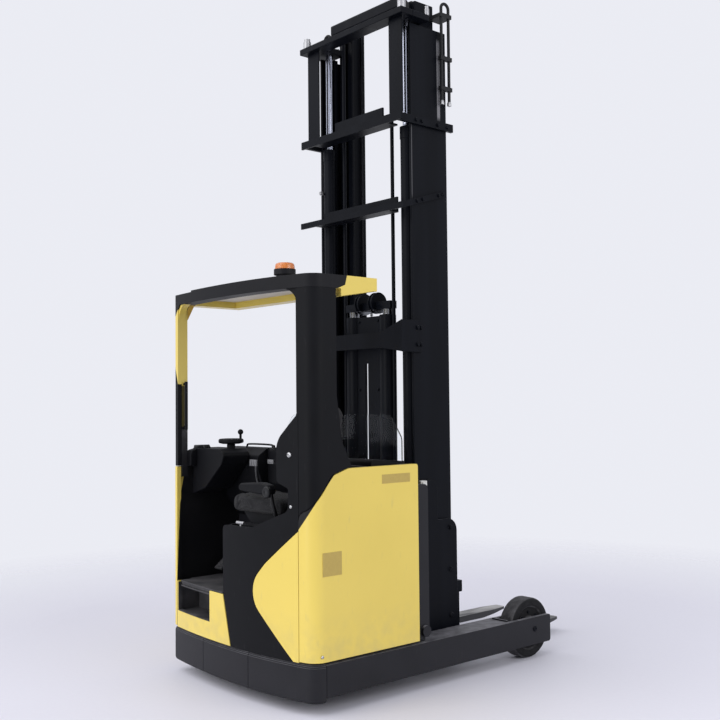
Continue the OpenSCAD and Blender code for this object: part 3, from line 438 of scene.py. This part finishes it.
def dress_solids():
    for row in frame["record"]["subparts"]:
        solid = nodes[row["node"]]
        for slot in solid.material_slots:
            slot.link = "OBJECT"
            slot.material = OWN_FINISH.get(row["node"], FINISHES[row["material_slot"]])
        width = EDGES.get(row["node"], EDGE) * MM
        if width == 0:
            continue
        weld = solid.modifiers.new("weld", "WELD")
        weld.merge_threshold = WELD_GAP
        flat = solid.modifiers.new("flat", "DECIMATE")
        flat.decimate_type, flat.angle_limit = "DISSOLVE", FLAT_ANGLE
        bevel = solid.modifiers.new("edge", "BEVEL")
        bevel.width, bevel.segments, bevel.limit_method = width, 2, "ANGLE"
        bevel.angle_limit, bevel.use_clamp_overlap = EDGE_ANGLE, True
        smooth = solid.modifiers.new("smooth", "WEIGHTED_NORMAL")
        smooth.weight, smooth.keep_sharp = 60, False


# Shapes of the added pieces


def facing(centre, direction, turn=0.0):
    """Frame whose Z points along a direction."""
    aim = direction.to_track_quat("Z", "Y").to_matrix().to_4x4()
    return Matrix.Translation(centre) @ aim @ Matrix.Rotation(turn, 4, "Z")


def turned(mesh, profile, frame_at, steps=32):
    """A turned shape: profile points are (radius, height) in millimetres, closed at both ends."""
    rings = []
    for radius, height in profile:
        corners = (2 * math.pi * i / steps for i in range(steps))
        points = [Vector((radius * math.cos(a), radius * math.sin(a), height)) * MM for a in corners]
        rings.append([mesh.verts.new(frame_at @ point) for point in points])
    for low, high in zip(rings, rings[1:]):
        for i in range(steps):
            j = (i + 1) % steps
            mesh.faces.new((low[i], low[j], high[j], high[i]))
    mesh.faces.new(rings[0][::-1])
    mesh.faces.new(rings[-1])


def block(mesh, low, high, frame_at=Matrix.Identity(4)):
    """A block between two corners in metres."""
    corner = [mesh.verts.new(frame_at @ Vector((x, y, z)))
              for x in (low[0], high[0]) for y in (low[1], high[1]) for z in (low[2], high[2])]
    for face in ((0, 1, 3, 2), (4, 6, 7, 5), (0, 4, 5, 1), (2, 3, 7, 6), (0, 2, 6, 4), (1, 5, 7, 3)):
        mesh.faces.new([corner[i] for i in face])


def prism(mesh, outline, thick, frame_at):
    """An outline of (x, y) in millimetres, thickened along the frame's Z."""
    low = [mesh.verts.new(frame_at @ Vector((x * MM, y * MM, 0))) for x, y in outline]
    high = [mesh.verts.new(frame_at @ Vector((x * MM, y * MM, thick * MM))) for x, y in outline]
    mesh.faces.new(low[::-1])
    mesh.faces.new(high)
    for i in range(len(outline)):
        j = (i + 1) % len(outline)
        mesh.faces.new((low[i], low[j], high[j], high[i]))


def tube(mesh, points, radius, sides=12):
    """A round bar along points in metres, closed at both ends."""
    radius *= MM
    across = None
    rings = []
    for i, point in enumerate(points):
        along = (points[min(i + 1, len(points) - 1)] - points[max(i - 1, 0)]).normalized()
        side = along.orthogonal() if across is None else across - along * across.dot(along)
        across = side.normalized()
        other = along.cross(across)
        rings.append([mesh.verts.new(point + radius * (math.cos(a) * across + math.sin(a) * other))
                      for a in (2 * math.pi * k / sides for k in range(sides))])
    for low, high in zip(rings, rings[1:]):
        for i in range(sides):
            j = (i + 1) % sides
            mesh.faces.new((low[i], low[j], high[j], high[i]))
    mesh.faces.new(rings[0][::-1])
    mesh.faces.new(rings[-1])


def smooth_path(points, steps=8):
    """Points of a smooth curve through the given ones."""
    ends = [2 * points[0] - points[1], *points, 2 * points[-1] - points[-2]]
    path = []
    for a, b, c, d in zip(ends, ends[1:], ends[2:], ends[3:]):
        for i in range(steps):
            t = i / steps
            bend = (2 * a - 5 * b + 4 * c - d) * t**2 + (3 * b - a - 3 * c + d) * t**3
            path.append(0.5 * (2 * b + (c - a) * t + bend))
    return [*path, points[-1]]


def hex_bolt(mesh, centre, direction, size, turn=0.3):
    """A hexagon head on a washer; size is across the head's corners, in millimetres."""
    place = facing(centre, direction, turn)
    turned(mesh, [(size * 0.62, 0), (size * 0.62, size * 0.07), (size * 0.58, size * 0.1)], place, 24)
    turned(mesh, [(size * 0.5, size * 0.1), (size * 0.5, size * 0.38), (size * 0.42, size * 0.44)], place, 6)


def round_screw(mesh, centre, direction, radius):
    """A button head with a socket in it."""
    place = facing(centre, direction)
    profile = ((1, 0), (1, 0.2), (0.85, 0.45), (0.5, 0.6), (0.45, 0.58), (0.4, 0.3))
    turned(mesh, [(radius * out, radius * up) for out, up in profile], place, 24)


def piece(name, mesh, body, finish, edge=0.0, sharp=35.0):
    """Turns a mesh into a piece that rides on a body; edge is the round of its edges, in millimetres."""
    bmesh.ops.recalc_face_normals(mesh, faces=mesh.faces)
    data = bpy.data.meshes.new(name)
    mesh.to_mesh(data)
    mesh.free()
    data.polygons.foreach_set("use_smooth", [True] * len(data.polygons))
    data.set_sharp_from_angle(angle=math.radians(sharp))
    made = bpy.data.objects.new(name, data)
    bpy.context.scene.collection.objects.link(made)
    data.materials.append(finish)
    if edge:
        bevel = made.modifiers.new("edge", "BEVEL")
        bevel.width, bevel.segments, bevel.limit_method = edge * MM, 2, "ANGLE"
        bevel.angle_limit = math.radians(sharp)
    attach(made, body)
    return made


# Seat

CLOTH_FRAMES = 20
PAD_SHRINK = 9 * MM
PAD_SWELL = 9 * MM
PAD_VOXEL = 6 * MM
PAD_PRESSURE = 4
# Sewn channels: their places as shares of the cushion's width, their half width and their depth
SEAMS, SEAM_WIDTH, SEAM_DEPTH = (0.2, 0.8), 7 * MM, 6 * MM


def padded_from(node, name):
    """A cushion in a solid's place: swollen by cloth, then drawn in along its sewn channels."""
    low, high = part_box(node)
    seams = [low.y + (high.y - low.y) * share for share in SEAMS]
    middle, half = (low + high) / 2, (high - low) / 2
    data = nodes[node].data.copy()
    pad = bpy.data.objects.new(name, data)
    bpy.context.scene.collection.objects.link(pad)
    for v in data.vertices:
        v.co = middle + Vector(((v.co[i] - middle[i]) * (half[i] - PAD_SHRINK) / half[i] for i in range(3)))
    bpy.context.view_layer.objects.active = pad
    remesh = pad.modifiers.new("remesh", "REMESH")
    remesh.mode, remesh.voxel_size = "VOXEL", PAD_VOXEL
    bpy.ops.object.modifier_apply(modifier="remesh")
    rest = [v.co.copy() for v in pad.data.vertices]
    cloth = pad.modifiers.new("cloth", "CLOTH")
    cloth.settings.use_pressure, cloth.settings.uniform_pressure_force = True, PAD_PRESSURE
    cloth.settings.effector_weights.gravity = 0
    for step in range(1, CLOTH_FRAMES + 1):
        bpy.context.scene.frame_set(step)
    bpy.ops.object.modifier_apply(modifier="cloth")
    bpy.context.scene.frame_set(1)
    for v, start in zip(pad.data.vertices, rest):
        move = v.co - start
        if move.length > PAD_SWELL:
            v.co = start + move.normalized() * PAD_SWELL
    pad.data.update()
    normals = [v.normal.copy() for v in pad.data.vertices]
    for v, normal in zip(pad.data.vertices, normals):
        depth = sum(math.exp(-((v.co.y - seam) / SEAM_WIDTH) ** 2) for seam in seams)
        v.co -= normal * min(depth, 1) * SEAM_DEPTH
    pad.data.polygons.foreach_set("use_smooth", [True] * len(pad.data.polygons))
    pad.data.materials.clear()
    pad.data.materials.append(FINISHES["seat_fabric"])
    pad.modifiers.new("soft", "SUBSURF").render_levels = 1
    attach(pad, "chassis")
    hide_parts(node)


def seat():
    padded_from("seat_cushion", "seat_pad")
    padded_from("seat_back", "seat_back_pad")
    # folding arm rest over the cushion's rear side, on its hinge
    mesh = bmesh.new()
    low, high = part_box("seat_cushion")
    hinge = Vector((high.x - 0.05, low.y + 0.005, high.z + 0.03))
    rest = [(-250, -6), (-262, 14), (-244, 34), (-60, 46), (6, 36), (22, 10), (10, -14), (-80, -16)]
    prism(mesh, rest, 50, Matrix.Translation(hinge) @ UPRIGHT)
    piece("arm_rest", mesh, "chassis", FINISHES["black_plastic"], 9)
    mesh = bmesh.new()
    turned(mesh, [(30, -8), (30, 4), (26, 8), (10, 10), (6, 8)], facing(hinge - Y * 0.05, -Y), 28)
    arm = [hinge + Vector(offset) * MM for offset in ((0, -25, 0), (10, -20, -60), (20, 0, -140))]
    tube(mesh, smooth_path(arm), 11)
    piece("arm_rest_hinge", mesh, "chassis", GLOSS_BLACK)


# Cab controls and trim


def controls():
    # arched grip along the dash
    mesh = bmesh.new()
    grip = [(-408, 1262), (-403, 1278), (-385, 1287), (-272, 1289), (-165, 1287), (-147, 1278), (-142, 1262)]
    tube(mesh, smooth_path([at(x, -1338, z) for x, z in grip]), 5.5)
    piece("dash_grip", mesh, "chassis", GLOSS_BLACK)
    # low instrument pod on the console's rear left
    mesh = bmesh.new()
    prism(mesh, [(-62, 0), (-56, 18), (46, 22), (58, 8), (60, 0)], 44,
          Matrix.Translation(at(-538, -1540, 1267)) @ UPRIGHT)
    piece("instrument_pod", mesh, "chassis", GLOSS_BLACK, 4)
    # lift levers: a row of short stems with knobs, low on the dash
    mesh = bmesh.new()
    for i in range(4):
        foot = at(-150 + i * 58, -1322, 1262)
        tip = foot + Vector((0.0, -0.008, 0.006))
        turned(mesh, [(16, -4), (15, 5), (10, 9), (8, 11)], facing(foot, Z), 20)
        turned(mesh, [(6, 0), (10, 5), (11, 12), (9, 17), (4, 20)], facing(tip, tip - foot + Z * 0.02), 20)
    piece("lift_levers", mesh, "chassis", GLOSS_BLACK)
    # cheek between the console and the left post, on top of the left wall
    mesh = bmesh.new()
    cheek = [(-1632, 1166), (-1632, 1238), (-1618, 1258), (-1587, 1264), (-1587, 1166)]
    prism(mesh, cheek, 55, Matrix.Translation(at(-605, 0, 0)) @ SIDE_ON)
    piece("console_cheek", mesh, "chassis", FINISHES["black_plastic"], 5)
    # switch blocks on the dash's two rear faces, each with three keys
    mesh = bmesh.new()
    for x0, x1, y, z0, z1 in ((-272, -206, -1405, 1168, 1204), (-194, -142, -1335, 1180, 1204)):
        block(mesh, at(x0, y - 9, z0), at(x1, y + 1, z1))
        for k in range(3):
            low = x0 + (x1 - x0) * (0.12 + 0.28 * k)
            block(mesh, at(low, y - 13, z0 + 6), at(low + (x1 - x0) * 0.2, y - 8, z1 - 6))
    piece("switch_blocks", mesh, "chassis", GREY, 1.5)
    # stalk from the switches, down the sloped face
    mesh = bmesh.new()
    stalk = [(-215, -1408, 1172), (-219, -1405, 1134), (-231, -1389, 1087), (-229, -1377, 1053),
             (-226, -1366, 1020)]
    tube(mesh, smooth_path([at(*p) for p in stalk]), 7)
    piece("switch_stalk", mesh, "chassis", FINISHES["motor_cast"])
    # pedals with ribs, each on its arm
    mesh = bmesh.new()
    for x in (-520, -425, -330):
        tilt = Matrix.Translation(at(x, -1420, 590)) @ Matrix.Rotation(math.radians(38), 4, "X")
        block(mesh, (-0.036, -0.055, 0), (0.036, 0.055, 0.012), tilt)
        for k in range(5):
            block(mesh, (-0.032, -0.045 + k * 0.02, 0.011), (0.032, -0.037 + k * 0.02, 0.016), tilt)
        tube(mesh, [at(x, -1412, 592), at(x, -1395, 560), at(x, -1385, 520)], 9)
    piece("pedals", mesh, "chassis", FINISHES["floor_rubber"], 1.5)


# Plan curve of the rear, and how far the rear panel stands out of it
REAR_RADIUS, REAR_INSET = 2500 * MM, 3 * MM


def on_rear(x, z, out=0.0):
    """Point of the rear's plan curve, and the way it faces."""
    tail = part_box("rear_panel")[0].y
    centre = tail - REAR_INSET + REAR_RADIUS
    away = Vector((x * MM, -math.sqrt(REAR_RADIUS**2 - (x * MM)**2), 0)).normalized()
    return Vector((0, centre, z * MM)) + away * (REAR_RADIUS - REAR_INSET + out), away


def cab_catches():
    """Small bright fasteners on the black panels of the cab."""
    mesh = bmesh.new()
    for x, z, radius in ((475, 1266, 14), (482, 1009, 9)):
        point, away = on_rear(x, z)
        round_screw(mesh, point, away, radius)
    # latch bar above the panel's edge, on a stem
    sunk = -20 * MM
    tube(mesh, [on_rear(x, 899, sunk)[0] for x in (50, 54, 72, 90, 108, 112)], 9, 16)
    tube(mesh, [on_rear(82, z, sunk)[0] for z in (872, 885, 895)], 6)
    piece("cab_catches", mesh, "chassis", FINISHES["bare_steel"])


# Plates and screws on the covers

# Bare plates on the right side cover as [rear edge, front edge, underside, top], let in and a hair proud
PLATES = ((-1215, -1014, 1103, 1150), (-1611, -1490, 672, 788))
PLATE_DEEP, PLATE_PROUD = 2 * MM, 0.8 * MM


def cover_plates():
    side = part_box("side_cover_right")[1].x
    mesh = bmesh.new()
    for y0, y1, z0, z1 in PLATES:
        low, high = at(0, y0, z0), at(0, y1, z1)
        block(mesh, (side - PLATE_DEEP, low.y, low.z), (side + PLATE_PROUD, high.y, high.z))
    piece("cover_plates", mesh, "chassis", TAN, 0.4)
    mesh = bmesh.new()
    low_corner = at(0, -1617, 287)
    round_screw(mesh, Vector((side, low_corner.y, low_corner.z)), X, 8)
    piece("cover_screw", mesh, "chassis", FINISHES["bare_steel"])


def battery_plug():
    """Pale plug on the battery's right gate, a housing with a stepped face."""
    gate_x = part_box("side_cover_right")[1].x - 0.06
    low, high = at(0, -876, 1062), at(0, -830, 1094)
    mesh = bmesh.new()
    block(mesh, (gate_x - 0.03, low.y, low.z), (gate_x + 0.004, high.y, high.z))
    block(mesh, (gate_x + 0.002, low.y + 0.008, low.z + 0.006),
          (gate_x + 0.012, high.y - 0.008, high.z - 0.006))
    piece("battery_plug", mesh, "chassis", WHITE, 2)


# Wheels

HUB_BOLTS, BOLT_CIRCLE, HUB_RECESS = 8, 92 * MM, 16 * MM


def wheel_hubs():
    for side, sign in (("right", 1), ("left", -1)):
        low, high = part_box("load_wheel_" + side)
        centre = (low + high) / 2
        face = high.x if sign > 0 else low.x
        mesh = bmesh.new()
        hub = Vector((face - sign * HUB_RECESS, centre.y, centre.z))
        for i in range(HUB_BOLTS):
            a = 2 * math.pi * i / HUB_BOLTS
            hex_bolt(mesh, hub + BOLT_CIRCLE * (math.cos(a) * Y + math.sin(a) * Z), X * sign, 17, a)
        piece(f"wheel_bolts_{side}", mesh, side + "_wheel", FINISHES["mast_black"])


def axle_keepers():
    """Caps over the ends of the load axles, on the outer sides of the legs."""
    leg_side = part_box("legs")[1].x
    axle_at = joint_at["load_wheel_right_spin"]
    for side, sign in (("right", 1), ("left", -1)):
        mesh = bmesh.new()
        place = facing(Vector((leg_side * sign, axle_at.y, axle_at.z)), X * sign)
        turned(mesh, [(17, 0), (17, 3), (14, 5), (9, 5), (8, 2)], place, 32)
        piece(f"axle_keeper_{side}", mesh, "chassis", FINISHES["mast_black"])


# Lift chains

CHAIN_PITCH = 15.5 * MM
# Half width of a link's ends, its waist and its tips, its thickness, and where odd and even rows sit across
LINK_END, LINK_WAIST, LINK_ROUND, LINK_THICK = 4.6, 3.4, 3.2, 2.5
ODD_ROW, EVEN_ROW = (-8.5, -1.25, 6.0), (-5.0, 2.5)
PIN_RADIUS, PIN_LONG = 2.6, 19


def leaf_chains():
    """Leaf chains from the carriage to the sheaves; they run out as the carriage nears the crosshead."""
    low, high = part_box("lift_chains")
    reach = high.z - low.z
    links = int(reach / CHAIN_PITCH)
    pitch = reach / links
    half = pitch / MM / 2
    tip = half + LINK_ROUND
    plate = [(-LINK_END, -half), (-LINK_ROUND, -tip), (LINK_ROUND, -tip), (LINK_END, -half), (LINK_WAIST, 0),
             (LINK_END, half), (LINK_ROUND, tip), (-LINK_ROUND, tip), (-LINK_END, half), (-LINK_WAIST, 0)]
    mesh = bmesh.new()
    for sign in (1, -1):
        middle = Vector(((high.x - 10 * MM) * sign, (low.y + high.y) / 2, low.z))
        for i in range(links):
            centre = middle + Z * pitch * (i + 0.5)
            for across in ODD_ROW if i % 2 else EVEN_ROW:
                prism(mesh, plate, LINK_THICK, Matrix.Translation(centre + X * across * MM) @ SIDE_ON)
            if i:
                pin = facing(middle + Z * pitch * i - X * PIN_LONG / 2 * MM, X)
                turned(mesh, [(PIN_RADIUS, 0), (PIN_RADIUS, PIN_LONG)], pin, 8)
    chains = piece("leaf_chains", mesh, "carriage", FINISHES["bare_steel"])
    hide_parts("lift_chains")
    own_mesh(chains)


# Plate between the free lift cylinders, slotted from below, as [across, height], and its bolts
GUARD_PLATE = ((-103, 1100), (-103, 2036), (103, 2036), (103, 1100),
               (-8, 1100), (-8, 1756), (-33, 1756), (-33, 1100))
GUARD_BOLTS = [(x, z) for x in (-84, 84) for z in (1150, 1600, 2010)]
GUARD_Y, GUARD_THICK = -728, 6


def cylinder_guard():
    mesh = bmesh.new()
    prism(mesh, GUARD_PLATE, GUARD_THICK, Matrix.Translation(at(0, GUARD_Y, 0)) @ UPRIGHT)
    for x, z in GUARD_BOLTS:
        hex_bolt(mesh, at(x, GUARD_Y - GUARD_THICK, z), -Y, 16)
    piece("cylinder_guard", mesh, "inner_stage", FINISHES["mast_black"], 1)


# Mast fasteners

ARM_X = 430
# Bolts on the outer stage's arms and the reach frame's plates as [along the truck, height, size]
ARM_BOLTS = ((-735, 2670, 20), (-690, 2684, 20), (-560, 2723, 20), (-525, 2734, 20),
             (-735, 3138, 22), (-690, 3138, 22), (-560, 3138, 22), (-480, 3138, 22),
             (-745, 1850, 24), (-717, 1850, 24), (-745, 1945, 24), (-717, 1945, 24),
             (-740, 300, 26), (-740, 520, 26), (-740, 760, 26), (-740, 1000, 26),
             (-500, 300, 26), (-500, 560, 26), (-500, 800, 26))
HEAD_TOP = 3756
# Bolts on the middle stage's head as [across, along the truck]
HEAD_BOLTS = ((320, -690), (435, -690), (435, -765), (200, -835), (60, -835), (435, -835))
# Hose unions on the head as [across, along the truck, radius, height]
HEAD_UNIONS = ((432, -845, 24, 66), (440, -650, 14, 60))
# Crimped ends of the side hoses as [across, along the truck, height]
HOSE_ENDS = ((434, -525, 3290), (434, -465, 3290))


def mast_bolts():
    mesh = bmesh.new()
    for sign in (1, -1):
        for y, z, size in ARM_BOLTS:
            hex_bolt(mesh, at(ARM_X * sign, y, z), X * sign, size, z)
    piece("mast_bolts", mesh, "outer_stage", FINISHES["mast_black"])
    mesh = bmesh.new()
    for sign in (1, -1):
        for x, y in HEAD_BOLTS:
            hex_bolt(mesh, at(x * sign, y, HEAD_TOP), Z, 22, x)
        for x, y, z in HOSE_ENDS:
            crimp = [(9.5, -26), (13, -24), (13, -8), (11, -4), (9.5, 0)]
            turned(mesh, crimp, facing(at(x * sign, y, z), Z), 6)
        for x, y, radius, tall in HEAD_UNIONS:
            union = [(radius, 0), (radius, tall * 0.7), (radius * 0.8, tall * 0.72), (radius * 0.8, tall)]
            turned(mesh, union, facing(at(x * sign, y, HEAD_TOP), Z), 24)
    piece("head_bolts", mesh, "middle_stage", FINISHES["bare_steel"])
    # bleed union on the far lift barrel, a stub with a cap
    mesh = bmesh.new()
    stub = at(-372, -770, 2838)
    turned(mesh, [(9, -14), (9, 10), (13, 12), (13, 26), (10, 30)], facing(stub, -Y), 6)
    piece("barrel_union", mesh, "outer_stage", FINISHES["bare_steel"])


# Room

# Floor's radius, and the distances between which it fades into the surround, in metres
FLOOR_RADIUS, FADE = 7, (2.6, 5.4)
# The surround as it lights the truck, as [colour, strength], and as it is seen
SKY_LIGHT, SKY_SEEN = (rgb(0.9, 0.92, 1.0), 0.55), (rgb(0.83, 0.84, 0.9), 1.0)
SUN_POWER, SUN_ANGLE, SUN_WAY = 1.5, math.radians(75), Vector((0.35, 0.75, -1.0))
# Lamps as [name, place, power in watts, size in metres], all aimed at one point
LAMPS = (("lamp_rear", (-0.5, -6.5, 3.6), 72, 4.0), ("lamp_right", (6.5, 0.5, 3.6), 170, 4.0),
         ("lamp_low", (0.5, -7.5, 1.5), 70, 2.4))
LAMPS_AIM = Vector((0, -0.3, 1.3))


def add_lamp(data, way, place=(0, 0, 0)):
    lamp = bpy.data.objects.new(data.name, data)
    lamp.location = place
    lamp.rotation_euler = way.to_track_quat("-Z", "Y").to_euler()
    bpy.context.scene.collection.objects.link(lamp)


def room():
    """Pale floor that fades out, an even pale surround, and soft lamps."""
    f = Finish("pale_floor")
    speck = f.noise(40, 4)
    distance = f.node("ShaderNodeVectorMath", {"operation": "LENGTH"}, {0: f.place}, output="Value")
    far = f.share(distance, *FADE)
    f.surface(Base_Color=f.mix(speck, rgb(0.72, 0.71, 0.78), rgb(0.69, 0.68, 0.75)), Roughness=0.6)
    clear = f.node("ShaderNodeBsdfTransparent")
    shown = f.node("ShaderNodeMixShader", {}, {0: far, 1: Value(f, f.shader.outputs[0]), 2: clear})
    f.feed(f.tree.nodes["Material Output"].inputs["Surface"], shown)
    mesh = bmesh.new()
    bmesh.ops.create_circle(mesh, cap_ends=True, segments=96, radius=FLOOR_RADIUS)
    data = bpy.data.meshes.new("floor")
    mesh.to_mesh(data)
    mesh.free()
    data.materials.append(f.material)
    floor = bpy.data.objects.new("floor", data)
    bpy.context.scene.collection.objects.link(floor)

    world = bpy.data.worlds.new("surround")
    bpy.context.scene.world = world
    world.use_nodes = True
    sky = NodeTree(world.node_tree)
    camera, mirror, glass = (sky.node("ShaderNodeLightPath", output=f"Is {ray} Ray")
                             for ray in ("Camera", "Glossy", "Transmission"))
    light = sky.tree.nodes["Background"]
    for name, value in zip(("Color", "Strength"), SKY_LIGHT):
        sky.feed(light.inputs[name], value)
    pale = sky.node("ShaderNodeBackground", {}, dict(zip(("Color", "Strength"), SKY_SEEN)))
    seen = camera.most(mirror.most(glass))
    both = sky.node("ShaderNodeMixShader", {}, {0: seen, 1: Value(sky, light.outputs[0]), 2: pale})
    sky.feed(sky.tree.nodes["World Output"].inputs["Surface"], both)

    sun = bpy.data.lights.new("soft_sun", "SUN")
    sun.energy, sun.angle = SUN_POWER, SUN_ANGLE
    add_lamp(sun, SUN_WAY)
    for name, place, power, size in LAMPS:
        soft = bpy.data.lights.new(name, "AREA")
        soft.energy, soft.size = power, size
        add_lamp(soft, LAMPS_AIM - Vector(place), place)


make_camera()
dress_solids()
seat()
controls()
cab_catches()
cover_plates()
battery_plug()
wheel_hubs()
axle_keepers()
leaf_chains()
cylinder_guard()
mast_bolts()
room()

bpy.context.scene.view_settings.view_transform = "Standard"
